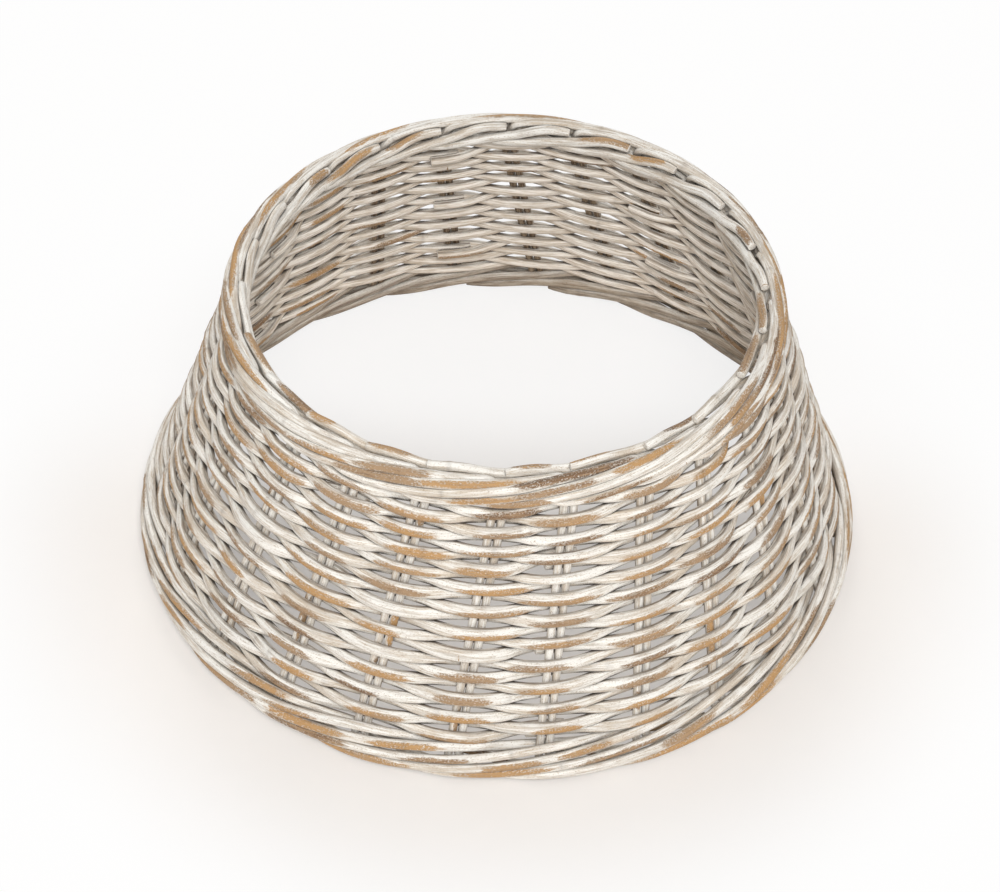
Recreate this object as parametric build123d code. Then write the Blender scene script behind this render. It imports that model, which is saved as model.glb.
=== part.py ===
from build123d import *
import os
from math import asin, atan2, cos, hypot, pi, radians, sin, tan

os.makedirs("parts", exist_ok=True)

# Whole collar: a woven wicker cone, open at both ends, standing on its wide end.
# The origin is the middle of the floor under it, +Z up, and -Y is the front.
# The borders' cores are the circles that the ends of all stakes meet.
foot_core_diameter = 604.0
top_core_diameter = 450.0
core_rise = 238.0

# Stakes: upright rods in pairs round the wall. They lean as they rise.
stake_diameter = 6.8
stake_pair_count = 24
first_pair_angle = -96.1
stake_lean_angle = 6.7
rod_clearance = 0.3

# Weavers: one rod a row, in front of one pair and behind the next. Each row starts
# further round than the one below it, by this count of pairs taken two at a time.
weaver_diameter = 8.2
row_pitch = 9.0
border_to_row_gap = 0.8
weaver_bend_radius = 42.0
weaver_end_gap = 4.0
weaver_shift_count = 7

# Borders: in each pair one stake is bent over at the top and the other at the foot,
# and wound round the pairs beside it. A strand has one station at each pair it meets,
# past the pair by the lag, a share of the step between pairs. A station is a share of
# a turn round the core, where 0 faces outward and a quarter faces the end, and a distance
# from the core as a share of the stake's diameter.
strand_station_shares = [
    (0.11, 2.06), (0.025, 2.06), (-0.06, 2.06), (-0.148, 2.3),
    (-0.53, 1.95), (-0.615, 2.06), (-0.7, 2.06),
]
strand_lag_share = 0.07
strand_crown_share = 1.28
strand_bend_share = 1.35
strand_sway_share = 4.0
hidden_end_share = 0.3

# What stands on the floor is cut flat this deep.
foot_flat_depth = 0.5

# Sizes that follow
stake_radius = stake_diameter / 2
weaver_radius = weaver_diameter / 2
pair_step = 2 * pi / stake_pair_count
pair_half_spacing = stake_radius + rod_clearance / 2
wall_taper = atan2(foot_core_diameter / 2 - top_core_diameter / 2, core_rise)
strand_crown = strand_crown_share * stake_diameter
strand_bend_radius = strand_bend_share * stake_diameter
strand_sway_radius = strand_sway_share * stake_diameter
hidden_end = hidden_end_share * stake_diameter


def station_offset(shares, end):
    """How far outward and up a station lies from the core, as the section tilts with the wall."""
    turn_share, distance_share = shares
    angle = 2 * pi * turn_share * end + wall_taper
    distance = distance_share * stake_diameter
    return distance * cos(angle), distance * sin(angle)


def border_reach(end, way):
    """How far a border reaches from its core, up where way is 1 and down where it is -1."""
    rises = [way * station_offset(shares, end)[1] for shares in strand_station_shares]
    return max(rises) + stake_radius


# How far a weaver's middle line lies from that of the stakes it crosses, square to the wall,
# and the level and upright parts of that. The outer sides of a pair come nearer to
# the weaver, by its bend and by the turn of the leaning pair.
bend_drop = pair_half_spacing**2 / (2 * weaver_bend_radius)
pair_turn = pair_half_spacing * sin(radians(stake_lean_angle) / 2)
crossing_distance = stake_radius + weaver_radius + rod_clearance + bend_drop + pair_turn
crossing_offset = crossing_distance * cos(wall_taper)
crossing_rise = crossing_distance * sin(wall_taper)

# Rows of weaving fill the wall between the borders.
foot_core_height = border_reach(-1, -1) - foot_flat_depth
top_core_height = foot_core_height + core_rise
first_row_height = foot_core_height + border_reach(-1, 1) + border_to_row_gap + weaver_radius - crossing_rise
last_row_height = top_core_height - border_reach(1, -1) - border_to_row_gap - weaver_radius - crossing_rise
row_count = round((last_row_height - first_row_height) / row_pitch) + 1
row_step = (last_row_height - first_row_height) / (row_count - 1)


def polar(radius, angle, level):
    """Point at a radius, an angle and a height."""
    return Vector(radius * cos(angle), radius * sin(angle), level)


def pair_angle(pair, end):
    """Direction of a pair at the top border, where end is 1, or at the foot, where it is -1."""
    angle = radians(first_pair_angle) + pair * pair_step
    if end == 1:
        angle = angle + radians(stake_lean_angle)
    return angle


def border_core(end):
    """Radius and height of a border's core."""
    if end == 1:
        return top_core_diameter / 2, top_core_height
    return foot_core_diameter / 2, foot_core_height


def core_point(pair, end):
    """Where a pair's middle line meets the core of a border."""
    radius, level = border_core(end)
    return polar(radius, pair_angle(pair, end), level)


def station_point(pair, shares, end):
    """Where a strand's middle line passes a pair in a border."""
    radius, level = border_core(end)
    outward, up = station_offset(shares, end)
    lag = end * strand_lag_share * pair_step
    return polar(radius + outward, pair_angle(pair, end) - lag, level + up)


def rounded_path(points, bend_radii):
    """Straight runs between the points, with a tangent arc at each corner."""
    edges = []
    start = points[0]
    for before, corner, after, wanted_radius in zip(points, points[1:], points[2:], bend_radii):
        back = (before - corner).normalized()
        ahead = (after - corner).normalized()
        half_turn = (pi - radians(back.get_angle(ahead))) / 2
        shortest_run = min((before - corner).length, (after - corner).length)
        bend_radius = min(wanted_radius, shortest_run / tan(half_turn) / 2)
        arc_start = corner + back * (bend_radius * tan(half_turn))
        arc_end = corner + ahead * (bend_radius * tan(half_turn))
        arc_middle = corner + (back + ahead).normalized() * (bend_radius / cos(half_turn) - bend_radius)
        edges.append(Edge.make_line(start, arc_start))
        edges.append(Edge.make_three_point_arc(arc_start, arc_middle, arc_end))
        start = arc_end
    edges.append(Edge.make_line(start, points[-1]))
    return Wire(edges)


def rod(points, bend_radii, radius):
    """Round rod along a rounded path."""
    section = Plane(origin=points[0], z_dir=points[1] - points[0]) * Circle(radius)
    return sweep(section, path=rounded_path(points, bend_radii))


def stake_points(pair, end):
    """Middle line of one stake of a pair, with its strand in the border at that end."""
    start = core_point(pair, -end)
    finish = core_point(pair, end)
    rise = (finish - start).normalized()
    outward = polar(1, (pair_angle(pair, 1) + pair_angle(pair, -1)) / 2, 0)
    side = outward.cross(rise).normalized() * pair_half_spacing
    points = [start - rise * hidden_end + side, finish + rise * strand_crown + side]
    for passed, shares in enumerate(strand_station_shares, start=1):
        points.append(station_point(pair - end * passed, shares, end))
    return points


def stake(pair, end):
    """One stake of a pair, bent over into the border at its end."""
    points = stake_points(pair, end)
    bend_radii = [strand_bend_radius] + [strand_sway_radius] * len(strand_station_shares[1:])
    shape = rod(points, bend_radii, stake_radius)
    if end == -1:
        shape = split(shape, bisect_by=Plane.XY, keep=Keep.TOP)
    return shape


def stake_pair(pair):
    """Two stakes side by side, one bound into each border."""
    return Compound(children=[stake(pair, 1), stake(pair, -1)])


def pair_middle(pair, level):
    """Point at a level on a pair's middle line."""
    foot = core_point(pair, -1)
    top = core_point(pair, 1)
    return foot + (top - foot) * ((level - foot.Z) / core_rise)


def corner_rises(radius):
    """How far a weaver's corners lie beyond its bends: outside a pair and inside.

    Each run is the common tangent of the bend round one pair and the next.
    """
    outer_centre = radius + crossing_offset - weaver_bend_radius
    inner_centre = radius - crossing_offset + weaver_bend_radius
    outward = inner_centre * cos(pair_step) - outer_centre
    onward = inner_centre * sin(pair_step)
    outer_turn = asin(2 * weaver_bend_radius / hypot(outward, onward)) - atan2(outward, onward)
    inner_turn = outer_turn - pair_step
    return [weaver_bend_radius / cos(turn) - weaver_bend_radius for turn in (outer_turn, inner_turn)]


def weaver_points(row):
    """Corners of a weaver's middle line, from the pair it starts behind and back to it.

    It bends in and out square to the wall, so it lies higher in front of a pair than behind.
    """
    level = first_row_height + row * row_step
    start_pair = row + 1 + 2 * weaver_shift_count * row
    points = []
    for pair in range(start_pair, start_pair + stake_pair_count + 1):
        middle = pair_middle(pair, level)
        radius = hypot(middle.X, middle.Y)
        outer_rise, inner_rise = corner_rises(radius)
        if (pair + row) % 2 == 0:
            outward = crossing_offset + outer_rise
        else:
            outward = -crossing_offset - inner_rise
        rise = outward * tan(wall_taper)
        points.append(polar(radius + outward, atan2(middle.Y, middle.X), level + rise))
    return points


def weaver_row(row):
    """One rod all round, whose two ends meet inside behind a pair."""
    points = weaver_points(row)
    first_run = (points[1] - points[0]).normalized()
    last_run = (points[-2] - points[-1]).normalized()
    points[0] = points[0] + first_run * (weaver_end_gap / 2)
    points[-1] = points[-1] + last_run * (weaver_end_gap / 2)
    bend_radii = [weaver_bend_radius] * len(points[1:-1])
    return rod(points, bend_radii, weaver_radius)


for pair in range(stake_pair_count):
    export_step(stake_pair(pair), f"parts/stake_pair_{pair + 1:02d}.step")

for row in range(row_count):
    export_step(weaver_row(row), f"parts/weaver_row_{row + 1:02d}.step")

print("rows", row_count, "row step", row_step, "foot core height", foot_core_height)
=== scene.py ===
import math
import bpy
import numpy as np
from mathutils import Matrix, Vector


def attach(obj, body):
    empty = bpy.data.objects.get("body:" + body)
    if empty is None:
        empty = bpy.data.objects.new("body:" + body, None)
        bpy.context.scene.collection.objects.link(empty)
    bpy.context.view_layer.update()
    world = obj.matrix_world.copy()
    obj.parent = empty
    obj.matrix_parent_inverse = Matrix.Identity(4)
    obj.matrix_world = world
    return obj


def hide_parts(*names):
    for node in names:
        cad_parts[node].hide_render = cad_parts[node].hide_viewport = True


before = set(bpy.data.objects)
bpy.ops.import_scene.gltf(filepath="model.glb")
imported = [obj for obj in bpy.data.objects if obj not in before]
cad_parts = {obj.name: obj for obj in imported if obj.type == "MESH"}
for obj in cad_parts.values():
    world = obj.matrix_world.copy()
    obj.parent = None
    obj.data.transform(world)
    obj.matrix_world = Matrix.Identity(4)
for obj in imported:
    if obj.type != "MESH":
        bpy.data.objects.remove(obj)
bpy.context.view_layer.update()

# the collar's frame, in metres: the same places as the CAD rods
collar = {
    "footRadius": 0.302,            # core circle of the foot border
    "topRadius": 0.225,             # core circle of the top border
    "footHeight": 0.016908,
    "rise": 0.238,                  # from one core circle to the other
    "pairs": 24,
    "firstAngle": math.radians(-96.1),
    "lean": math.radians(6.7),      # how far a stake turns round the axis as it rises
    "drift": 0.0024,                # how unevenly the pairs are spaced
    "driftSeed": 7,
    "frontDrift": {21: 0.0035, 22: 0.0035, 23: 0.001, 0: 0.002, 1: -0.003},
    "dent": 0.0045,                 # how far the top ring is pushed in at the back left
    "dentAngle": math.radians(145),
    "backFrom": 0.35,               # where the back begins, from 0 in front to 1 behind
    "backFull": 0.95,
    "backLower": -0.0040,           # how much lower the weaving starts there
}
pairStep = 2 * math.pi / collar["pairs"]
taper = math.atan2(collar["footRadius"] - collar["topRadius"], collar["rise"])
pairDrift = np.random.default_rng(collar["driftSeed"]).uniform(-1, 1, collar["pairs"])
pairDrift = pairDrift * collar["drift"]
pairDrift[list(collar["frontDrift"])] = list(collar["frontDrift"].values())


def polar(radius, angle, level):
    # point at a radius, an angle and a height, as whole arrays
    radius, angle, level = np.broadcast_arrays(radius, angle, level)
    return np.stack([radius * np.cos(angle), radius * np.sin(angle), level], axis=-1)


def unit(vectors):
    # each vector divided by its length
    return vectors / np.linalg.norm(vectors, axis=-1, keepdims=True)


def smoothStep(low, high, value):
    # 0 below low, 1 above high, eased between
    share = np.clip((value - low) / (high - low), 0, 1)
    return share * share * (3 - 2 * share)


def pairLine(pair, level):
    # a pair's middle line is straight between the two core circles: its angle and radius at
    # a level, with the pair's own drift added along the wall, and the dent taken off
    share = (level - collar["footHeight"]) / collar["rise"]
    x = collar["footRadius"] * (1 - share) + collar["topRadius"] * share * math.cos(collar["lean"])
    y = collar["topRadius"] * share * math.sin(collar["lean"])
    radius = np.hypot(x, y)
    drift = np.interp(pair, np.arange(collar["pairs"]), pairDrift, period=collar["pairs"])
    angle = collar["firstAngle"] + pair * pairStep + np.arctan2(y, x) + drift / radius
    facing = np.clip(np.cos(angle - collar["dentAngle"]), 0, 1)
    return angle, radius - collar["dent"] * np.clip(share, 0, 1) * facing**2


def wallNormal(points):
    # outward from the axis, tipped up by the wall's taper
    angle = np.arctan2(points[:, 1], points[:, 0])
    return polar(math.cos(taper), angle, math.sin(taper))


def backness(angle):
    # 1 at the back of the collar, 0 from its sides to the front
    return smoothStep(collar["backFrom"], collar["backFull"], (1 + np.sin(angle)) / 2)


unevenness = {
    "waves": 5,
    "frequencies": (0.6, 2.1),      # waves in one period, from the slowest to the fastest
    "fullSize": 2.2,                # what the sum of the waves is divided by
}


def wobble(position, rng, period, size):
    # sum of sines of random frequency and phase
    frequency = rng.uniform(*unevenness["frequencies"], unevenness["waves"])
    phase = rng.uniform(0, 2 * math.pi, unevenness["waves"])
    waves = np.sin(np.outer(position / period * 2 * math.pi, frequency) + phase)
    return size * waves.sum(axis=1) / unevenness["fullSize"]


# rods: a round profile carried along a path
rodShape = {
    "around": 16,                   # points round a rod
    "step": 0.0028,                 # spacing of the rings
    "fewestRings": 4,
    "capShares": [0.93, 0.60],      # rings of the cut face, as shares of the radius
    "capHeights": [0.08, 0.15],     # how far they stand out, as shares of the radius
    "endTaper": 0.10,               # how much narrower a rod gets towards its ends
    "endLength": 0.006,
    "oval": 0.030,                  # how far out of round, and radians that it turns in a metre
    "ovalTurn": 9,
    "lobes": 0.020,
    "lobeTurn": 31,
    "knotSpacing": 0.30,
    "knotRise": 0.07,
    "knotLength": 0.0018,
    "woodStart": 50,                # a rod's pattern starts anywhere within this many metres
    "innerGain": 1.3,               # the wall's inner side: -cosine * gain + start
    "innerStart": 0.1,
    "creviceSharpness": 8,
    "patchTone": 0.7,               # how much of the tone is the patch's own, not the rod's
    "leastWear": -0.5,
    "leastPatch": 1e-4,             # so that no patch has no length
}


def evenPath(points):
    # the same line, divided evenly by length
    lengths = np.cumsum(np.linalg.norm(np.diff(points, axis=0), axis=1))
    lengths = np.concatenate([[0], lengths])
    count = max(int(lengths[-1] / rodShape["step"]), rodShape["fewestRings"])
    wanted = np.linspace(0, lengths[-1], count)
    even = np.stack([np.interp(wanted, lengths, points[:, k]) for k in range(3)], axis=1)
    return even, wanted, np.interp(wanted, lengths, np.arange(len(points)))


def wornPatches(position, angle, patches):
    # each patch is a blunt lens on the rod, 1 in its middle and 0.5 at its rim:
    # 1 - (place^3 + turn^2) ^ 0.4 / 2, where place and turn are shares of its half length
    # and half width; the strongest one counts, and gives the tone
    place = np.abs(position[:, None, None] - patches["centre"]) / patches["halfLength"]
    turn = angle[None, :, None] - patches["facing"]
    turn = (turn + math.pi) % (2 * math.pi) - math.pi
    field = 1 - (place**3 + (turn / patches["halfWidth"]) ** 2) ** 0.4 / 2
    best = field.argmax(axis=2)
    strongest = np.take_along_axis(field, best[:, :, None], axis=2)[:, :, 0]
    return np.maximum(strongest, rodShape["leastWear"]), patches["tone"][best]


def rodFaces(ringCount):
    # quads between the rings, and a fan at each end round its pole; the poles come last
    count = rodShape["around"]
    first = np.arange(ringCount - 1)[:, None] * count
    here = np.arange(count)[None, :]
    after = (here + 1) % count
    corners = [first + here, first + after, first + count + after, first + count + here]
    last, pole = (ringCount - 1) * count, ringCount * count
    startFan = np.stack([np.full(count, pole), after[0], here[0]], axis=-1)
    endFan = np.stack([np.full(count, pole + 1), last + here[0], last + after[0]], axis=-1)
    return np.stack(corners, axis=-1).reshape(-1, 4), np.concatenate([startFan, endFan])


def rodReach(radius, along, angle, knotSwell, seed, flatness):
    # radius at each ring and angle: 1 + oval * sin(2 a) - flatness * cos(2 a) + lobes * sin(3 a),
    # thicker at the knots and narrower towards the ends
    oval = np.sin(2 * angle[None, :] + along[:, None] * rodShape["ovalTurn"] + seed)
    lobes = np.sin(3 * angle[None, :] - along[:, None] * rodShape["lobeTurn"] + seed * 2)
    uneven = 1 + rodShape["oval"] * oval
    uneven = uneven - flatness * np.cos(2 * angle)[None, :]
    uneven = uneven + rodShape["lobes"] * lobes
    reach = radius[:, None] * uneven * (1 + rodShape["knotRise"] * knotSwell[:, None])
    ends = 1 - smoothStep(0, rodShape["endLength"], np.minimum(along, along[-1] - along))
    return reach * (1 - rodShape["endTaper"] * ends[:, None])


def rodSurface(path, radius, along, patches, wall, tone, rng, flatness=0.0):
    # ring = centre + radius * (cos(a) * outward + sin(a) * side), where outward is the wall's
    # normal made square to the path; the ends are closed by two smaller rings and a pole
    count = rodShape["around"]
    heading = unit(np.gradient(path, axis=0))
    outward = wallNormal(path)
    outward = unit(outward - (outward * heading).sum(axis=1)[:, None] * heading)
    side = np.cross(heading, outward)
    angle = np.arange(count) * 2 * math.pi / count
    seed = rng.uniform(0, rodShape["woodStart"])
    knotCount = max(int(along[-1] / rodShape["knotSpacing"]), 1)
    knots = rng.uniform(0, 1, knotCount) * along[-1]
    knotSwell = np.exp(-((along[:, None] - knots[None, :]) / rodShape["knotLength"]) ** 2)
    knotSwell = np.clip(knotSwell.sum(axis=1), 0, 1)
    reach = rodReach(radius, along, angle, knotSwell, seed, flatness)
    spokes = np.cos(angle)[None, :, None] * outward[:, None, :]
    spokes = spokes + np.sin(angle)[None, :, None] * side[:, None, :]
    rings = path[:, None, :] + reach[:, :, None] * spokes
    startOut, endOut = -heading[0] * radius[0], heading[-1] * radius[-1]
    shares, heights = rodShape["capShares"], rodShape["capHeights"]
    startCap = [
        path[0] + startOut * height + reach[0][:, None] * share * spokes[0]
        for share, height in zip(shares, heights)
    ]
    endCap = [
        path[-1] + endOut * height + reach[-1][:, None] * share * spokes[-1]
        for share, height in zip(shares, heights)
    ]
    rings = np.concatenate([np.array(startCap[::-1]), rings, np.array(endCap)])
    poles = np.array([path[0] + startOut * heights[-1], path[-1] + endOut * heights[-1]])
    quads, fans = rodFaces(len(rings))
    # what the material reads. Angles for the wear run downwards from the outer side,
    # whichever way the rod is laid
    down = -1 if side[:, 2].mean() > 0 else 1
    wear, patchTone = wornPatches(along, down * angle, patches)
    inward = -np.cos(angle)[None, :] * rodShape["innerGain"] + rodShape["innerStart"]
    # 1 on a rod's upper and lower sides, where it meets the next rod: the mask of the brown grime
    # and painted shade there
    crevice = np.abs(np.sin(angle))[None, :] ** rodShape["creviceSharpness"]
    layers = {
        "wear": wear,
        "tone": patchTone * rodShape["patchTone"] + tone * (1 - rodShape["patchTone"]),
        "inward": np.clip(inward, 0, 1) * wall[:, None],
        "crevice": crevice * np.ones((len(path), 1)),
        "knot": knotSwell[:, None] * np.ones(count),
        "upright": wall[:, None] * np.ones(count),
    }
    # the cut faces take the values of the rings beside them
    caps = len(shares)
    layers = {
        key: np.concatenate([
            np.repeat(value[:1], caps, axis=0), value, np.repeat(value[-1:], caps, axis=0),
        ]).reshape(-1)
        for key, value in layers.items()
    }
    layers["cut"] = np.zeros(len(rings) * count)
    layers["cut"][:caps * count] = 1
    layers["cut"][(len(rings) - caps) * count:] = 1
    # where a point lies in the wood: along the rod, and its two places across
    spread = np.concatenate([np.full(caps, along[0]), along, np.full(caps, along[-1])]) + seed
    space = np.stack([
        np.repeat(spread, count),
        np.tile(np.cos(angle), len(rings)) * radius[0],
        np.tile(np.sin(angle), len(rings)) * radius[0],
    ], axis=1)
    poleSpace = [[spread[0], 0, 0], [spread[-1], 0, 0]]
    poleValues = {"tone": tone, "cut": 1.0}
    return {
        "vertices": np.concatenate([rings.reshape(-1, 3), poles]),
        "quads": quads,
        "fans": fans,
        "rodSpace": np.concatenate([space, poleSpace]),
        "layers": {
            key: np.concatenate([value, [poleValues.get(key, 0.0)] * 2])
            for key, value in layers.items()
        },
    }


def joinRods(name, rods, material, node):
    # one mesh from several rods, with their attributes
    offsets = np.cumsum([0] + [len(rod["vertices"]) for rod in rods[:-1]])
    vertices = np.concatenate([rod["vertices"] for rod in rods])
    vertices[:, 2] = np.maximum(vertices[:, 2], 0)          # lies flat on the floor
    quads = np.concatenate([rod["quads"] + shift for rod, shift in zip(rods, offsets)])
    fans = np.concatenate([rod["fans"] + shift for rod, shift in zip(rods, offsets)])
    corners = np.concatenate([quads.reshape(-1), fans.reshape(-1)])
    starts = np.concatenate([
        np.arange(len(quads)) * 4, len(quads) * 4 + np.arange(len(fans)) * 3,
    ])
    mesh = bpy.data.meshes.new(name)
    mesh.vertices.add(len(vertices))
    mesh.vertices.foreach_set("co", vertices.reshape(-1))
    mesh.loops.add(len(corners))
    mesh.loops.foreach_set("vertex_index", corners.astype(np.int32))
    mesh.polygons.add(len(starts))
    mesh.polygons.foreach_set("loop_start", starts.astype(np.int32))
    mesh.polygons.foreach_set("use_smooth", np.ones(len(starts), dtype=bool))
    mesh.update(calc_edges=True)
    mesh.validate()
    space = mesh.attributes.new("rodSpace", "FLOAT_VECTOR", "POINT")
    space.data.foreach_set("vector", np.concatenate([rod["rodSpace"] for rod in rods]).reshape(-1))
    for key in rods[0]["layers"]:
        layer = mesh.attributes.new(key, "FLOAT", "POINT")
        layer.data.foreach_set("value", np.concatenate([rod["layers"][key] for rod in rods]))
    mesh.materials.append(material)
    piece = bpy.data.objects.new(name, mesh)
    bpy.context.scene.collection.objects.link(piece)
    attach(piece, "root")
    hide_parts(node)
    return piece


# materials: shader sums written as expressions
class Socket:
    # wraps an output socket, so that + - * on it add Math nodes
    def __init__(self, tree, output):
        self.tree = tree
        self.output = output

    def math(self, operation, first, second):
        inputs = {0: first, 1: second}
        return makeNode(self.tree, "ShaderNodeMath", {"operation": operation}, inputs)

    def __add__(self, other):
        return self.math("ADD", self, other)

    def __radd__(self, other):
        return self.math("ADD", other, self)

    def __sub__(self, other):
        return self.math("SUBTRACT", self, other)

    def __rsub__(self, other):
        return self.math("SUBTRACT", other, self)

    def __mul__(self, other):
        return self.math("MULTIPLY", self, other)

    def __rmul__(self, other):
        return self.math("MULTIPLY", other, self)

    def smooth(self, low, high):
        # 0 below low, 1 above high, eased between
        return makeNode(
            self.tree, "ShaderNodeMapRange", {"interpolation_type": "SMOOTHSTEP"},
            {"Value": self, "From Min": low, "From Max": high, "To Min": 0.0, "To Max": 1.0},
        )


def makeNode(tree, kind, settings, inputs, output=0):
    # adds a node: its settings first, then the values or links of its sockets
    node = tree.nodes.new(kind)
    for key, value in settings.items():
        setattr(node, key, value)
    for key, value in inputs.items():
        if isinstance(value, Socket):
            tree.links.new(value.output, node.inputs[key])
        else:
            node.inputs[key].default_value = value
    return Socket(tree, node.outputs[output]) if node.outputs else None


def newMaterial(name):
    # a material with an empty node tree
    material = bpy.data.materials.new(name)
    material.use_nodes = True
    material.node_tree.nodes.clear()
    return material, material.node_tree


def attribute(tree, name, output="Fac"):
    # what a rod's mesh carries at each point
    return makeNode(tree, "ShaderNodeAttribute", {"attribute_name": name}, {}, output)


def stretch(tree, vector, scale):
    # a place times a scale along each axis
    inputs = {0: vector, 1: scale}
    return makeNode(tree, "ShaderNodeVectorMath", {"operation": "MULTIPLY"}, inputs, "Vector")


def noise(tree, vector, scale, detail, roughness):
    # 0 to 1 over the place
    inputs = {"Vector": vector, "Scale": scale, "Detail": detail, "Roughness": roughness}
    return makeNode(tree, "ShaderNodeTexNoise", {}, inputs, "Fac")


def mixColour(tree, factor, first, second):
    # a Mix node's sockets 6 and 7 are its two colours, and its output 2 is their mix
    inputs = {0: factor, 6: first, 7: second}
    return makeNode(tree, "ShaderNodeMix", {"data_type": "RGBA"}, inputs, 2)


def colour(red, green, blue):
    # screen colour, 0 to 255, as the linear light that a socket wants
    values = [c / 255 for c in (red, green, blue)]
    linear = [v / 12.92 if v <= 0.04045 else ((v + 0.055) / 1.055) ** 2.4 for v in values]
    return (*linear, 1.0)


whitewash = {
    # the wood's noises, fine round the rod and drawn out along it: waves in a metre along and
    # across, detail, roughness
    "noises": {
        "fibre": ((60, 1000, 1000), 4.0, 0.65),
        "streak": ((24, 430, 430), 3.0, 0.6),
        "patch": ((75, 190, 190), 4.0, 0.6),
        "speck": ((620, 1000, 1000), 3.0, 0.6),
        "broad": ((11, 60, 60), 2.0, 0.5),
        "grain": ((700, 1500, 1500), 2.0, 0.7),
    },
    # each layer: its colour, how the noises add up, between which sums it sets in, its strength
    "dull": (colour(206, 198, 187), {"streak": 0.8, "broad": 0.4, "fibre": 0.6}, (0.78, 1.08), 1.0),
    "thin": (colour(222, 204, 180), {"fibre": 0.8, "broad": 0.6}, (0.62, 0.90), 0.6),
    "flecked": (colour(176, 156, 132), {"grain": 0.8, "fibre": 0.4}, (0.62, 0.78), 0.75),
    # the same for bare rod, where the noises spread a patch's tone, from gold to grey
    "tan": (colour(176, 146, 114), {"streak": 1.2}, (0.15, 0.55), 1.0),
    "brown": (colour(126, 96, 68), {"fibre": 1.9}, (0.60, 1.00), 1.0),
    "grey": (colour(104, 92, 80), {"streak": 0.5}, (0.90, 1.02), 0.8),
    "brownFibres": (colour(126, 96, 68), {"fibre": 0.7, "grain": 0.5}, (0.58, 0.78), 0.5),
    "paint": colour(250, 247, 240),
    "gold": colour(196, 154, 104),
    "inner": ({"streak": 0.6, "fibre": 0.9}, (0.62, 0.92)),
    # the worn patches' ragged edge, and flecks of paint left in them
    "edge": ({"patch": 0.40, "streak": 0.30, "fibre": 0.30, "speck": 0.22}, (0.455, 0.530)),
    "flecksLeft": ({"speck": 0.75, "fibre": 0.5}, (0.57, 0.68)),
    "flecksFewer": 0.30,             # in the middle of a patch
    "flecksShare": 0.7,
    # dark brown of grime, hairlines and knots, and of the painted shade along the rods' sides
    "grimeAndShade": colour(96, 80, 64),
    "sides": (0.30, 0.90),           # grime and painted shade along a rod's upper and lower sides, where it meets the next rod
    "sideFibres": 0.6,
    # painted shade where another rod is near: its dark brown, how far the ambient occlusion looks,
    # its samples, how fibres break it up, and between which amounts it sets in
    "creviceShade": colour(54, 43, 33),
    "creviceReach": 0.0052,          # how near another rod must be for the painted shade
    "creviceSamples": 6,
    "closeFibres": 0.25,
    "shadedCloseness": (0.28, 0.60),
    "hairlines": ({"fibre": 0.8, "speck": 0.35}, (0.76, 0.86)),
    "hairShare": 0.35,
    "knotShare": 0.5,
    "cutSpecks": (0.45, 0.62),
    "cutShare": 0.55,
    "height": {"fibre": 0.55, "speck": 0.25, "patch": 0.25},
    "wornDepth": 0.30,
    "bumpStrength": 0.9,
    "bumpDistance": 0.0009,
    "roughness": 0.74,
}
stakeFinish = {
    "innerPaint": colour(160, 142, 120),
    "innerBare": colour(100, 80, 60),
    "innerStrength": 1.0,
    # how much brown grime and painted shade run along the sides, and how much painted shade lies
    # where another rod is near
    "sideGrimeAndShade": 0.22,
    "closeShade": 0.72,              # painted shade where another rod is near: between the strands of a border
    "uprightShade": 0.26,            # and in the wall
}
weaverFinish = {
    "innerPaint": colour(255, 248, 238),
    "innerBare": colour(206, 190, 170),
    "innerStrength": 0.95,
    # how much brown grime and painted shade run along the sides, and how much painted shade lies
    # where another rod is near
    "sideGrimeAndShade": 0.70,
    "closeShade": 0.90,
    "uprightShade": 0.90,
}


def weighted(noises, weights):
    # sum of noise * weight
    terms = [noises[key] * weight for key, weight in weights.items()]
    return sum(terms[1:], terms[0])


def spreadBy(value, noises, weights):
    # value + the noises' swing either way, each by its weight
    for key, weight in weights.items():
        value = value + (noises[key] - 0.5) * weight
    return value


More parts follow.
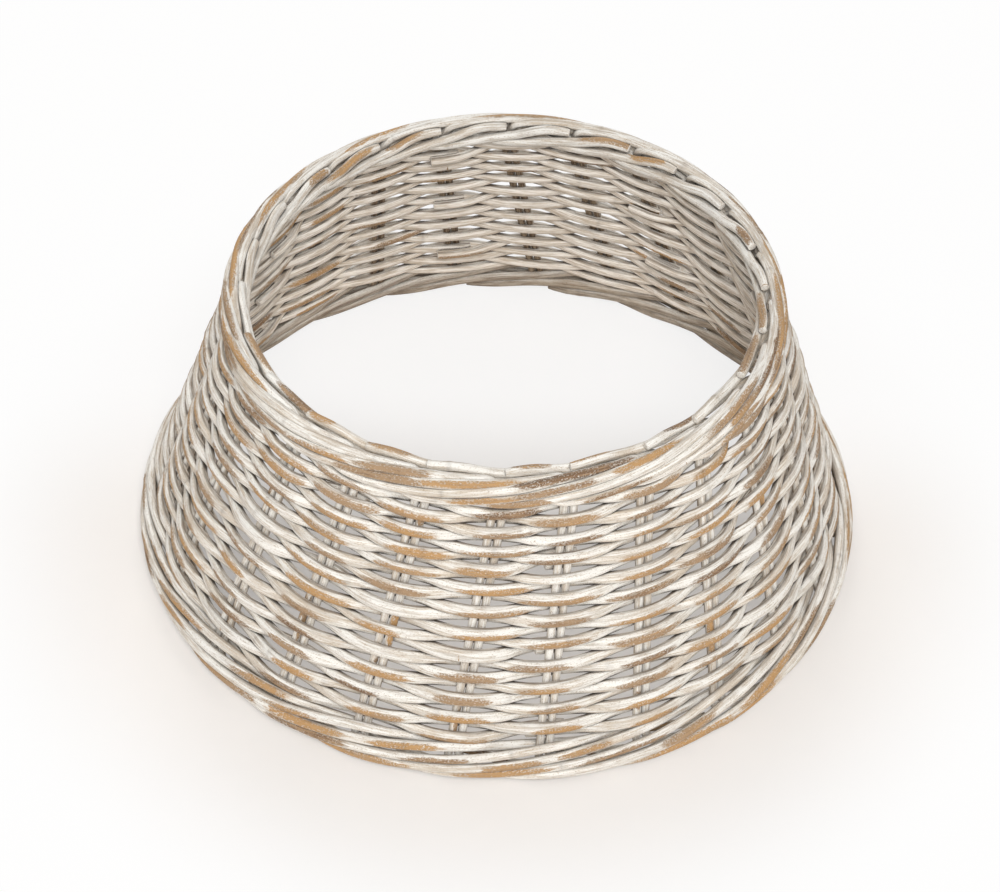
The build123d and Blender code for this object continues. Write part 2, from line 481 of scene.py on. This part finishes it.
def rodMaterial(name, finish):
    # whitewash, bare rod, grime and painted shade, layer over layer; finish is what stakes and
    # weavers differ in
    material, tree = newMaterial(name)
    space = attribute(tree, "rodSpace", "Vector")
    wear, tone, inward, crevice, knot, upright, cut = [
        attribute(tree, key)
        for key in ("wear", "tone", "inward", "crevice", "knot", "upright", "cut")
    ]
    noises = {
        key: noise(tree, stretch(tree, space, scale), 1.0, detail, roughness)
        for key, (scale, detail, roughness) in whitewash["noises"].items()
    }

    def coat(under, layer):
        # paint over what is under it, where the noises' sum is in the layer's range
        tint, weights, limits, strength = whitewash[layer]
        return mixColour(tree, weighted(noises, weights).smooth(*limits) * strength, under, tint)

    def turn(under, layer):
        # bare rod turns to the layer's colour where its tone is in the layer's range
        tint, weights, limits, strength = whitewash[layer]
        share = spreadBy(tone, noises, weights).smooth(*limits) * strength
        return mixColour(tree, share, under, tint)

    # paint: bright, dulled in long streaks, thin over the fibres, and greyer on the inside
    paint = coat(whitewash["paint"], "dull")
    paint = coat(paint, "thin")
    paint = coat(paint, "flecked")
    weights, limits = whitewash["inner"]
    share = weighted(noises, weights).smooth(*limits)
    inner = mixColour(tree, share, finish["innerPaint"], finish["innerBare"])
    paint = mixColour(tree, inward * finish["innerStrength"], paint, inner)
    # bare rod where the paint is worn off: gold or tan to brown by the patch, a few grey
    bare = turn(whitewash["gold"], "tan")
    bare = turn(bare, "brown")
    bare = turn(bare, "grey")
    bare = coat(bare, "brownFibres")
    weights, limits = whitewash["edge"]
    worn = spreadBy(wear, noises, weights).smooth(*limits)
    weights, limits = whitewash["flecksLeft"]
    flecks = weighted(noises, weights) - (wear - 0.5) * whitewash["flecksFewer"]
    worn = worn * (1 - flecks.smooth(*limits) * whitewash["flecksShare"])
    surface = mixColour(tree, worn, paint, bare)
    # brown grime and painted shade along the sides, painted shade where another rod is near,
    # hairlines and knots
    sides = crevice * (noises["streak"] + noises["fibre"] * whitewash["sideFibres"])
    sides = sides.smooth(*whitewash["sides"]) * finish["sideGrimeAndShade"]
    surface = mixColour(tree, sides, surface, whitewash["grimeAndShade"])
    # painted shade: the colour darkens to dark brown where ambient occlusion finds another rod near
    openness = makeNode(
        tree, "ShaderNodeAmbientOcclusion", {"samples": whitewash["creviceSamples"]},
        {"Distance": whitewash["creviceReach"]}, "AO",
    )
    shadedCloseness = spreadBy(1 - openness, noises, {"fibre": whitewash["closeFibres"]})
    grimeAndShade = upright * (finish["uprightShade"] - finish["closeShade"]) + finish["closeShade"]
    share = shadedCloseness.smooth(*whitewash["shadedCloseness"]) * grimeAndShade
    surface = mixColour(tree, share, surface, whitewash["creviceShade"])
    weights, limits = whitewash["hairlines"]
    hair = weighted(noises, weights).smooth(*limits) * whitewash["hairShare"]
    surface = mixColour(tree, hair, surface, whitewash["grimeAndShade"])
    knots = knot * (noises["streak"] * whitewash["knotShare"])
    surface = mixColour(tree, knots, surface, whitewash["grimeAndShade"])
    # cut faces take the paint
    specks = noises["speck"].smooth(*whitewash["cutSpecks"]) * whitewash["cutShare"]
    face = mixColour(tree, specks, whitewash["paint"], whitewash["tan"][0])
    surface = mixColour(tree, cut, surface, face)
    height = weighted(noises, whitewash["height"]) - worn * whitewash["wornDepth"]
    bump = makeNode(tree, "ShaderNodeBump", {}, {
        "Strength": whitewash["bumpStrength"], "Distance": whitewash["bumpDistance"],
        "Height": height,
    }, "Normal")
    shader = makeNode(tree, "ShaderNodeBsdfPrincipled", {}, {
        "Base Color": surface, "Roughness": whitewash["roughness"], "Normal": bump,
    }, "BSDF")
    makeNode(tree, "ShaderNodeOutputMaterial", {}, {"Surface": shader})
    return material


stakeMaterial = rodMaterial("whitewashed stake", stakeFinish)
weaverMaterial = rodMaterial("whitewashed weaver", weaverFinish)
print("materials made")

# stakes, and the border strands that they end in. A strand has a station at each of the seven
# pairs that it passes, and the lists of eight start with the crown of its own stake
stakes = {
    "seed": 100,
    "radius": 0.0035,
    "gap": 0.0008,                   # between the two stakes of a pair
    "hidden": {1: 0.002, -1: -0.006},  # how far a stake's other end passes the core
    "turns": [0.11, 0.025, -0.06, -0.148, -0.53, -0.615, -0.7],     # round the core
    "distances": [0.0140, 0.0140, 0.0140, 0.0156, 0.0133, 0.0140, 0.0140],
    "turnSpread": 0.006,             # how unevenly they are laid
    "distanceSpread": 0.02,
    "lag": 0.07,                     # how far past its pair a station lies, in pair steps
    "crown": 0.0095,
    # the top border is pressed flatter in front. At the sides and back it is narrower, and
    # has its own places outward and up
    "frontFrom": 0.45,               # where the front begins, from 0 behind to 1 in front
    "frontFull": 0.88,
    "pressed": [0.80, 0.89, 0.90, 0.92, 0.93, 0.86, 0.82, 0.76],
    "narrowOut": [-0.0010, 0.0014, 0.0066, 0.0076, 0.0070, -0.0080, -0.0088, -0.0048],
    "narrowUp": [0.0058, 0.0098, 0.0060, -0.0010, -0.0068, -0.0085, -0.0014, 0.0054],
    # the foot border is spread taller than the top one, and closed up against the weaving
    "footOut": [0, 0, 0, -0.0006, -0.0010, 0.0026, -0.0020, -0.0020],
    "footUp": [0, 0, -0.0004, 0.0006, 0.0026, 0.0119, 0.0103, 0.0005],
    "lowered": [0.8, 0.4, 1, 1],     # stations 1 to 4 at the back, as shares of backLower
    "tuckUnder": 0.0065,             # how far the tips lie under the foot border at the back
    "sideNarrow": 0.0024,            # how much narrower the foot border is at the sides
    "loose": 0.0030,                 # how far it hangs out at the front right
    "looseAngle": math.radians(-56),
    "looseWidth": 0.38,
    "looseDrop": 0.6,
    "makeRoom": 0.0030,              # how far the fourth station moves between odd and even pairs
    "arch": 0.0026,                  # how far the last run rises between two pairs
    "turnLength": 0.0065,            # the stake starts to turn this far below the core
    "turnShare": 0.22,               # and has joined the strand's line here, in pair steps
    "tail": (-0.24, -0.06),          # how far the tip passes the last station, in pair steps
    "points": {"straight": 60, "bend": 24, "strand": 320},
    "swell": 1.14,                   # strands are thicker than the stakes look
    "swellSpread": (0.94, 1.06),
    "swellLength": 10,               # points of the straight part over which it sets in
    "wobblePeriod": 0.09,
    "wobbleSize": 0.02,
    "footShelter": 0.25,             # how much of the foot's strands counts as wall
}
# wear: long patches where a strand crowns, short ones on its last run, two on the stake
strandWear = {
    "stations": [1.3, 2.6, 3.6, 6.5],
    "stationSpread": 0.40,
    "chance": [0.85, 0.6, 0.7, 0.55],
    "halfLength": ([0.030, 0.020, 0.024, 0.012], [0.058, 0.044, 0.048, 0.042]),
    "facingTop": ([-0.9, -0.3, -0.1, -2.0], [0.3, 0.7, 0.8, -1.2]),
    "facingFoot": (-0.4, 0.8),
    "halfWidth": (0.8, 1.35),
    "stakePatches": 2,
    "stakePlace": (0.1, 0.9),
    "stakeHalfLength": (-0.030, 0.026),
    "stakeFacing": (-1.2, 1.2),
    "stakeHalfWidth": (0.7, 1.2),
    "tonePower": 1.4,
}


def easedSlopes(places, values):
    # slopes of a smooth curve that never overshoots: at each knot the harmonic mean of the
    # slopes on both sides, or level where they differ in sign, and level at the last one
    runs = np.diff(values) / np.diff(places)
    product = runs[:-1] * runs[1:]
    inner = np.where(product > 0, 2 * product / np.where(product > 0, runs[:-1] + runs[1:], 1), 0)
    return np.concatenate([[runs[0]], inner, [0]])


def easedCurve(places, values, wanted):
    # cubic between knots, from their values and eased slopes
    slopes = easedSlopes(places, values)
    run = np.clip(np.searchsorted(places, wanted, side="right") - 1, 0, len(places) - 2)
    width = places[run + 1] - places[run]
    t = (wanted - places[run]) / width
    rise = (2 * t**3 - 3 * t**2 + 1) * values[run] + (3 * t**2 - 2 * t**3) * values[run + 1]
    return rise + ((t**3 - 2 * t**2 + t) * slopes[run] + (t**3 - t**2) * slopes[run + 1]) * width


def stationPlaces(pair, end, rng):
    # a strand's crown and its stations 1 to 7: where they are, in pair steps from its own
    # stake, and how far outward and up from the core
    turns = np.array(stakes["turns"]) + rng.normal(0, stakes["turnSpread"], len(stakes["turns"]))
    distances = np.array(stakes["distances"])
    distances = distances * (1 + rng.normal(0, stakes["distanceSpread"], len(turns)))
    places = np.concatenate([[0], np.arange(1, len(turns) + 1) + stakes["lag"]])
    angles = 2 * math.pi * turns * end + taper
    out = np.concatenate([[0.0], distances * np.cos(angles)])
    up = np.concatenate([[stakes["crown"] * end], distances * np.sin(angles)])
    stationAngle = collar["firstAngle"] + (pair - end * places) * pairStep
    if end == 1:
        frontness = (1 - np.sin(stationAngle)) / 2
        front = smoothStep(stakes["frontFrom"], stakes["frontFull"], frontness)
        pressed = front * np.array(stakes["pressed"])
        out = out * pressed + (1 - front) * np.array(stakes["narrowOut"])
        up = up * pressed + (1 - front) * np.array(stakes["narrowUp"])
    else:
        out, up = out + np.array(stakes["footOut"]), up + np.array(stakes["footUp"])
        back = backness(stationAngle)
        up[1:5] = up[1:5] + back[1:5] * collar["backLower"] * np.array(stakes["lowered"])
        out[7] = out[7] + back[7] * stakes["tuckUnder"]
        out[1:5] = out[1:5] - stakes["sideNarrow"] * np.cos(stationAngle[1:5]) ** 2
        away = (stationAngle[1:3] - stakes["looseAngle"]) / stakes["looseWidth"]
        loose = stakes["loose"] * np.exp(-away**2)
        out[1:3], up[1:3] = out[1:3] + loose, up[1:3] - stakes["looseDrop"] * loose
    # beside the weaving it makes room for the row at every other pair
    up[4] = up[4] - end * stakes["makeRoom"] * (0.5 if (pair - end * 4) % 2 else -0.5)
    return places, out, up


def strandLine(pair, end, tail, rng):
    # middle line of a strand, through its stations
    places, out, up = stationPlaces(pair, end, rng)
    s = np.linspace(stakes["turnShare"], places[-1] + tail, stakes["points"]["strand"])
    lastRun = np.clip((s - places[-2]) / (places[-1] - places[-2]), 0, 1)
    upward = easedCurve(places, up, s)
    upward = upward + end * stakes["arch"] * np.sin(math.pi * lastRun) ** 2
    level = collar["footHeight"] + (collar["rise"] if end == 1 else 0)
    angle, radius = pairLine(pair - end * s, level)
    return polar(radius + easedCurve(places, out, s), angle, level + upward), s


def strandPatches(end, s, along, straightLength, rng):
    # the worn patches of one stake and its strand
    wear = strandWear
    swing = wear["stationSpread"]
    onStrand, onStake = len(wear["stations"]), wear["stakePatches"]
    stations = np.array(wear["stations"]) + rng.uniform(-swing, swing, onStrand)
    present = rng.uniform(0, 1, onStrand) < wear["chance"]
    stakePlaces = rng.uniform(*wear["stakePlace"], onStake) * straightLength
    strandHalf = rng.uniform(*wear["halfLength"]) * present
    stakeHalf = rng.uniform(*wear["stakeHalfLength"], onStake).clip(0)
    if end == 1:
        facing = rng.uniform(*wear["facingTop"])
    else:
        facing = rng.uniform(*wear["facingFoot"], onStrand)
    return {
        "centre": np.concatenate([np.interp(stations, s, along), stakePlaces]),
        "halfLength": np.concatenate([strandHalf, stakeHalf]) + rodShape["leastPatch"],
        "facing": np.concatenate([facing, rng.uniform(*wear["stakeFacing"], onStake)]),
        "halfWidth": np.concatenate([
            rng.uniform(*wear["halfWidth"], onStrand),
            rng.uniform(*wear["stakeHalfWidth"], onStake),
        ]),
        "tone": rng.uniform(0, 1, onStrand + onStake) ** wear["tonePower"],
    }


def stakeRod(pair, end, rng):
    # one stake of a pair: straight up or down the wall, a bend, and its strand in the border
    levels = collar["footHeight"] + np.array([0, collar["rise"]])
    angles, radii = pairLine(np.array([pair, pair]), levels)
    ends = polar(radii, angles, levels)
    start, finish = ends if end == 1 else ends[::-1]
    rise = unit(finish - start)
    side = unit(np.cross(polar(1, angles.mean(), 0), rise))
    side = side * (stakes["radius"] + stakes["gap"] / 2)
    strand, s = strandLine(pair, end, rng.uniform(*stakes["tail"]), rng)
    foot = start - rise * stakes["hidden"][end] + side
    turn = finish - rise * stakes["turnLength"] + side
    points = stakes["points"]
    straight = np.linspace(0, 1, points["straight"], endpoint=False)[:, None]
    straight = foot + (turn - foot) * straight
    # the bend: a cubic from the stake's line into the strand's line
    onward = unit(strand[1] - strand[0])
    chord = np.linalg.norm(strand[0] - turn)
    t = np.linspace(0, 1, points["bend"], endpoint=False)[:, None]
    bend = (2 * t**3 - 3 * t**2 + 1) * turn + (t**3 - 2 * t**2 + t) * rise * chord
    bend = bend + (3 * t**2 - 2 * t**3) * strand[0] + (t**3 - t**2) * onward * chord
    line = np.concatenate([straight, bend, strand])
    path, along, index = evenPath(line)
    strandStart = points["straight"] + points["bend"]
    s = np.interp(index, np.arange(len(line)), np.concatenate([np.zeros(strandStart), s]))
    swellStart = points["straight"] - stakes["swellLength"]
    strandShare = smoothStep(swellStart, strandStart, index)
    swell = stakes["swell"] * rng.uniform(*stakes["swellSpread"]) - 1
    radius = stakes["radius"] * (1 + strandShare * swell)
    radius = radius * (1 + wobble(along, rng, stakes["wobblePeriod"], stakes["wobbleSize"]))
    patches = strandPatches(end, s, along, np.linalg.norm(turn - foot), rng)
    wall = 1 - strandShare * (1.0 if end == 1 else stakes["footShelter"])
    return rodSurface(path, radius, along, patches, wall, rng.uniform(0, 1), rng)


for pair in range(collar["pairs"]):
    rng = np.random.default_rng(stakes["seed"] + pair)
    rods = [stakeRod(pair, 1, rng), stakeRod(pair, -1, rng)]
    number = f"{pair + 1:02d}"
    joinRods(f"stakePair{number}", rods, stakeMaterial, f"stake_pair_{number}")
print("stakes and borders made")

# weavers: rows of one rod each, in front of one pair and behind the next
weave = {
    "rows": 23,
    "radiusSeed": 31,
    "seed": 500,
    "firstLevel": 0.0374,
    "lastLevel": 0.2350,
    "radius": 0.0048,
    "spread": 0.09,                  # how unevenly thick the rods are, as a share
    "spreadLimits": (-0.15, 0.17),
    "thickerHalf": 0.05,             # and how much thicker half of a round is
    "thickerTurn": 2.4,              # from one row to the next that half turns by this angle
    "wobblePeriod": 2.5,
    "wobbleSize": 0.025,
    "pressed": 0.74,                 # rods and stakes bed into each other where they cross
    "flatness": 0.06,                # pressed between the rows: broader along the wall than across
    "blunt": 0.14,                   # the bends are blunter than a cosine's
    "tilt": 1.05,                    # they bend in and out a little steeper than square to the wall
    "startStep": 7,
    "tail": 0.22,                    # in pair steps, past the pair that both ends rest behind
    "lapSteps": (0.9, 0.15),         # the last end moves in over these steps before the end
    "lap": 1.75,                     # by this many radii
    "lapDrop": 0.003,
    "points": 1600,
    "hump": 0.0040,                  # how far the rows rise in the upper half
    "humpShares": (0.05, 0.62),
    "humpDip": 0.2,                  # and dip below it, as a share
    "humpSpread": 0.25,              # how unlike the rise is, two times in a round
    "humpTurn": 2.6,
    "holdGain": 1.5,                 # all rows keep still at the borders
    "commonSway": 0.0012,            # how far all rows rise and dip together
    # waves in a round, their start, turn from the foot to the top, and share
    "swayWaves": [(3, 0.8, 2, 1.0), (5, 0.0, 4, 0.7)],
    "ownSway": 0.0005,
    "ownSwayPeriod": 6.0,
    # at the back the rows are spread, and the rods are thinner and cross the inside level
    "backUpper": 0.0080,
    "backThinner": 0.11,
    "backBulge": 0.10,
    "backLift": 1.30,
    "sideThinner": 0.13,             # at the sides they are thinner and bulge less
    "sideStraighter": 0.16,
}
# wear: a patch where the rod bulges past a pair, and fewer where it bulges inwards
weaverWear = {
    "size": (0.72, 1.15),
    "outerChance": 0.90,
    "innerChance": 0.32,
    "placeSpread": 0.09,
    "halfLength": 0.0280,
    "outerFacing": (0.38, 0.16),     # mean and spread, downwards from the outer side
    "innerSpread": 0.3,
    "outerHalfWidth": (0.75, 1.15),
    "innerHalfWidth": 0.7,
    "pairsBefore": 2,                # pairs counted before a row's start and past its end
    "pairsPast": 4,
    "offRod": (-1, 9),               # where their patches go, in metres along the rod
}
rowRadii = np.random.default_rng(weave["radiusSeed"]).normal(0, weave["spread"], weave["rows"])
rowRadii = weave["radius"] * (1 + np.clip(rowRadii, *weave["spreadLimits"]))
# rows are stacked by their thickness between the two borders
rowLevels = np.concatenate([[0], np.cumsum(rowRadii[:-1] + rowRadii[1:])])
rowHeight = weave["lastLevel"] - weave["firstLevel"]
rowLevels = weave["firstLevel"] + rowHeight * rowLevels / rowLevels[-1]


def commonSway(angle, level):
    # rows rise and dip together, and not at the borders: a hump, and a sum of sines that turn
    # from one level to the next
    share = np.clip((level - weave["firstLevel"]) / rowHeight, 0, 1)
    hold = np.clip(np.sin(math.pi * share) * weave["holdGain"], 0, 1)
    hump = smoothStep(*weave["humpShares"], share) * (1 + weave["humpDip"]) - weave["humpDip"]
    hump = hump * (1 - weave["humpSpread"] * np.cos(2 * angle + weave["humpTurn"]))
    sway = sum(
        size * np.sin(waves * angle + start + turn * share)
        for waves, start, turn, size in weave["swayWaves"]
    )
    return hold * (weave["hump"] * hump + weave["commonSway"] * sway)


def weaverPatches(startPair, row, places, along, rng):
    # the worn patches of a row, one place at each pair that it crosses
    wear = weaverWear
    crossings = np.arange(-wear["pairsBefore"], collar["pairs"] + wear["pairsPast"])
    outer = crossings % 2 == (startPair + row) % 2
    count = len(crossings)
    chance = np.where(outer, wear["outerChance"], wear["innerChance"])
    size = rng.uniform(*wear["size"], count) * (rng.uniform(0, 1, count) < chance)
    centres = crossings + rng.normal(0, wear["placeSpread"], count)
    facingOut = rng.normal(*wear["outerFacing"], count)
    facingIn = math.pi + rng.normal(0, wear["innerSpread"], count)
    halfWidth = rng.uniform(*wear["outerHalfWidth"], count)
    before, past = wear["offRod"]
    return {
        "centre": np.interp(centres, places, along, left=before, right=past),
        "halfLength": wear["halfLength"] * size + rodShape["leastPatch"],
        "facing": np.where(outer, facingOut, facingIn),
        "halfWidth": np.where(outer, halfWidth, wear["innerHalfWidth"]),
        "tone": rng.uniform(0, 1, count),
    }


def weaverRow(row):
    # middle line: the wall's radius and the row's level, plus a cosine of the place among the
    # pairs, square to the wall
    rng = np.random.default_rng(weave["seed"] + row)
    startPair = row + 1 + 2 * weave["startStep"] * row
    s = np.linspace(-weave["tail"], collar["pairs"] + weave["tail"], weave["points"])
    angle = pairLine(startPair + s, rowLevels[row])[0]
    levels = rowLevels[row] + commonSway(angle, rowLevels[row])
    levels = levels + wobble(s, rng, weave["ownSwayPeriod"], weave["ownSway"])
    back = backness(angle)
    share = row / (weave["rows"] - 1)
    levels = levels + back * (share * weave["backUpper"] + (1 - share) * collar["backLower"])
    angle, wallRadius = pairLine(startPair + s, levels)
    sides = np.cos(angle) ** 4 * (1 - back)
    thicker = np.cos(s / collar["pairs"] * 2 * math.pi + row * weave["thickerTurn"])
    thickness = rowRadii[row] * (1 + weave["thickerHalf"] * thicker)
    thickness = thickness * (1 + wobble(s, rng, weave["wobblePeriod"], weave["wobbleSize"]))
    thickness = thickness * (1 - weave["backThinner"] * back) * (1 - weave["sideThinner"] * sides)
    wave = np.cos(math.pi * (startPair + s + row))
    wave = wave * (1 + weave["blunt"] * (1 - wave**2))
    # the last end lies on the inside of the first one, a little higher or lower
    lapFrom, lapFull = [collar["pairs"] - steps for steps in weave["lapSteps"]]
    lap = smoothStep(lapFrom, lapFull, s) * weave["lap"] * rowRadii[row]
    drop = rng.uniform(-weave["lapDrop"], weave["lapDrop"])
    levels = levels + smoothStep(lapFrom, collar["pairs"], s) * drop
    out = wave * (stakes["radius"] + thickness) * weave["pressed"] - lap
    inside = np.where(out < 0, back, 0)
    out = out * (1 + weave["backBulge"] * inside) * (1 - weave["sideStraighter"] * sides)
    rise = out * math.sin(taper) * (weave["tilt"] - weave["backLift"] * inside)
    centre = polar(wallRadius + out * math.cos(taper), angle, levels + rise)
    path, along, index = evenPath(centre)
    places = np.interp(index, np.arange(len(s)), s)
    radius = np.interp(places, s, thickness)
    patches = weaverPatches(startPair, row, places, along, rng)
    tone = rng.uniform(0, 1)
    wall = np.ones(len(path))
    return rodSurface(path, radius, along, patches, wall, tone, rng, weave["flatness"])


for row in range(weave["rows"]):
    number = f"{row + 1:02d}"
    rods = [weaverRow(row)]
    joinRods(f"weaverRow{number}", rods, weaverMaterial, f"weaver_row_{number}")
print("weavers made")

# floor, light and camera
studio = {
    "floorColour": (0.90, 0.85, 0.80, 1.0),
    "floorSpeckle": (0.88, 0.83, 0.785, 1.0),
    "floorGrain": (40.0, 3.0, 0.55),  # waves in a metre, detail, roughness
    "floorSize": 30.0,
    "floorCells": 8,
    "worldStrength": 0.33,
    "glowNear": 0.28,                # how much of its own white the floor shows the camera
    "glowFar": 0.94,                 # and away from the collar
    "glowRadii": (0.32, 0.50),       # where that rises, from the axis outwards
    "glowInside": (-0.05, 0.16),     # and inside the collar, from front to back: painted light over the walls' shade there
    "glowInsideShare": 0.8,
    "lampAim": (0, 0, 0.1),
    # place, side of the square and watts
    "lamps": {
        "key softbox": ((0.25, -2.6, 3.0), 1.3, 94),
        "right softbox": ((2.2, -1.4, 1.8), 1.6, 5),
        "left softbox": ((-2.4, -1.2, 1.8), 1.6, 8),
        "back softbox": ((-0.4, 2.8, 2.2), 1.6, 37),
    },
}


def floorMaterial():
    # the far floor turns plain white for the camera; near the collar it keeps its shadow, but
    # inside the collar it glows brighter towards the back, a painted pool of light
    material, tree = newMaterial("pale floor")
    place = makeNode(tree, "ShaderNodeTexCoord", {}, {}, "Object")
    grain = noise(tree, place, *studio["floorGrain"])
    tint = mixColour(tree, grain, studio["floorColour"], studio["floorSpeckle"])
    radius = makeNode(tree, "ShaderNodeVectorMath", {"operation": "LENGTH"}, {0: place}, "Value")
    depth = makeNode(tree, "ShaderNodeSeparateXYZ", {}, {0: place}, "Y")
    far = radius.smooth(*studio["glowRadii"])
    # painted light: the floor inside the collar glows brighter towards the back
    behind = depth.smooth(*studio["glowInside"]) * studio["glowInsideShare"]
    clear = far + behind - far * behind
    seen = makeNode(tree, "ShaderNodeLightPath", {}, {}, "Is Camera Ray")
    share = seen * (clear * (studio["glowFar"] - studio["glowNear"]) + studio["glowNear"])
    diffuse = makeNode(tree, "ShaderNodeBsdfDiffuse", {}, {"Color": tint})
    glow = makeNode(tree, "ShaderNodeEmission", {}, {"Color": (1, 1, 1, 1), "Strength": 1.0})
    mixed = makeNode(tree, "ShaderNodeMixShader", {}, {0: share, 1: diffuse, 2: glow})
    makeNode(tree, "ShaderNodeOutputMaterial", {}, {"Surface": mixed})
    return material


def gridPlane(name, size, cells, material):
    # a flat square grid at floor level
    line = np.linspace(-size / 2, size / 2, cells + 1)
    x, y = np.meshgrid(line, line)
    vertices = np.stack([x.ravel(), y.ravel(), np.zeros(x.size)], axis=1)
    k = np.arange(cells * (cells + 1)).reshape(cells, cells + 1)[:, :-1].ravel()
    faces = np.stack([k, k + 1, k + cells + 2, k + cells + 1], axis=1)
    mesh = bpy.data.meshes.new(name)
    mesh.from_pydata(vertices.tolist(), [], faces.tolist())
    mesh.materials.append(material)
    plane = bpy.data.objects.new(name, mesh)
    bpy.context.scene.collection.objects.link(plane)
    return plane


floor = gridPlane("floor", studio["floorSize"], studio["floorCells"], floorMaterial())


def makeWorld():
    # even white light, which the camera sees as plain white
    world = bpy.data.worlds.new("studio")
    bpy.context.scene.world = world
    world.use_nodes = True
    tree = world.node_tree
    background = tree.nodes["Background"]
    background.inputs["Color"].default_value = (1.0, 1.0, 1.0, 1.0)
    seen = makeNode(tree, "ShaderNodeLightPath", {}, {}, "Is Camera Ray")
    strength = seen * (1 - studio["worldStrength"]) + studio["worldStrength"]
    tree.links.new(strength.output, background.inputs["Strength"])


def areaLight(name, place, size, watts):
    # a square lamp that faces the aim point
    data = bpy.data.lights.new(name, "AREA")
    data.shape = "SQUARE"
    data.size = size
    data.energy = watts
    lamp = bpy.data.objects.new(name, data)
    lamp.location = place
    toAim = Vector(studio["lampAim"]) - Vector(place)
    lamp.rotation_euler = toAim.to_track_quat("-Z", "Y").to_euler()
    bpy.context.scene.collection.objects.link(lamp)


makeWorld()
for name, (place, size, watts) in studio["lamps"].items():
    areaLight(name, place, size, watts)

view = {
    "unit": 0.3185,                  # the foot's outer radius, which the camera was fitted in
    "elevation": math.radians(44.62),
    "distance": 7.41,
    "aim": (0.005, 0.0, 0.241),
    "roll": math.radians(1.55),
    "unitPixels": 361.9,             # what a unit spans at that distance, in a picture
    "pictureWidth": 1000,            # this wide
    "sensor": 36,
    "farthest": 100,
}


def makeCamera():
    # looks along +Y and down, from the aim point plus the distance, rolled a little
    data = bpy.data.cameras.new("camera")
    focalPixels = view["unitPixels"] * view["distance"]
    data.lens = focalPixels / view["pictureWidth"] * view["sensor"]
    data.sensor_width = view["sensor"]
    data.clip_end = view["farthest"]
    camera = bpy.data.objects.new("camera", data)
    bpy.context.scene.collection.objects.link(camera)
    e = view["elevation"]
    back = Vector((0, -math.cos(e), math.sin(e)))
    right, up = Vector((1, 0, 0)), Vector((0, math.sin(e), math.cos(e)))
    c, s = math.cos(view["roll"]), math.sin(view["roll"])
    right, up = c * right + s * up, -s * right + c * up
    camera.matrix_world = Matrix((right, up, back)).transposed().to_4x4()
    camera.location = (Vector(view["aim"]) + back * view["distance"]) * view["unit"]
    bpy.context.scene.camera = camera


makeCamera()
bpy.context.scene.view_settings.view_transform = "Standard"
print("floor, light and camera made")
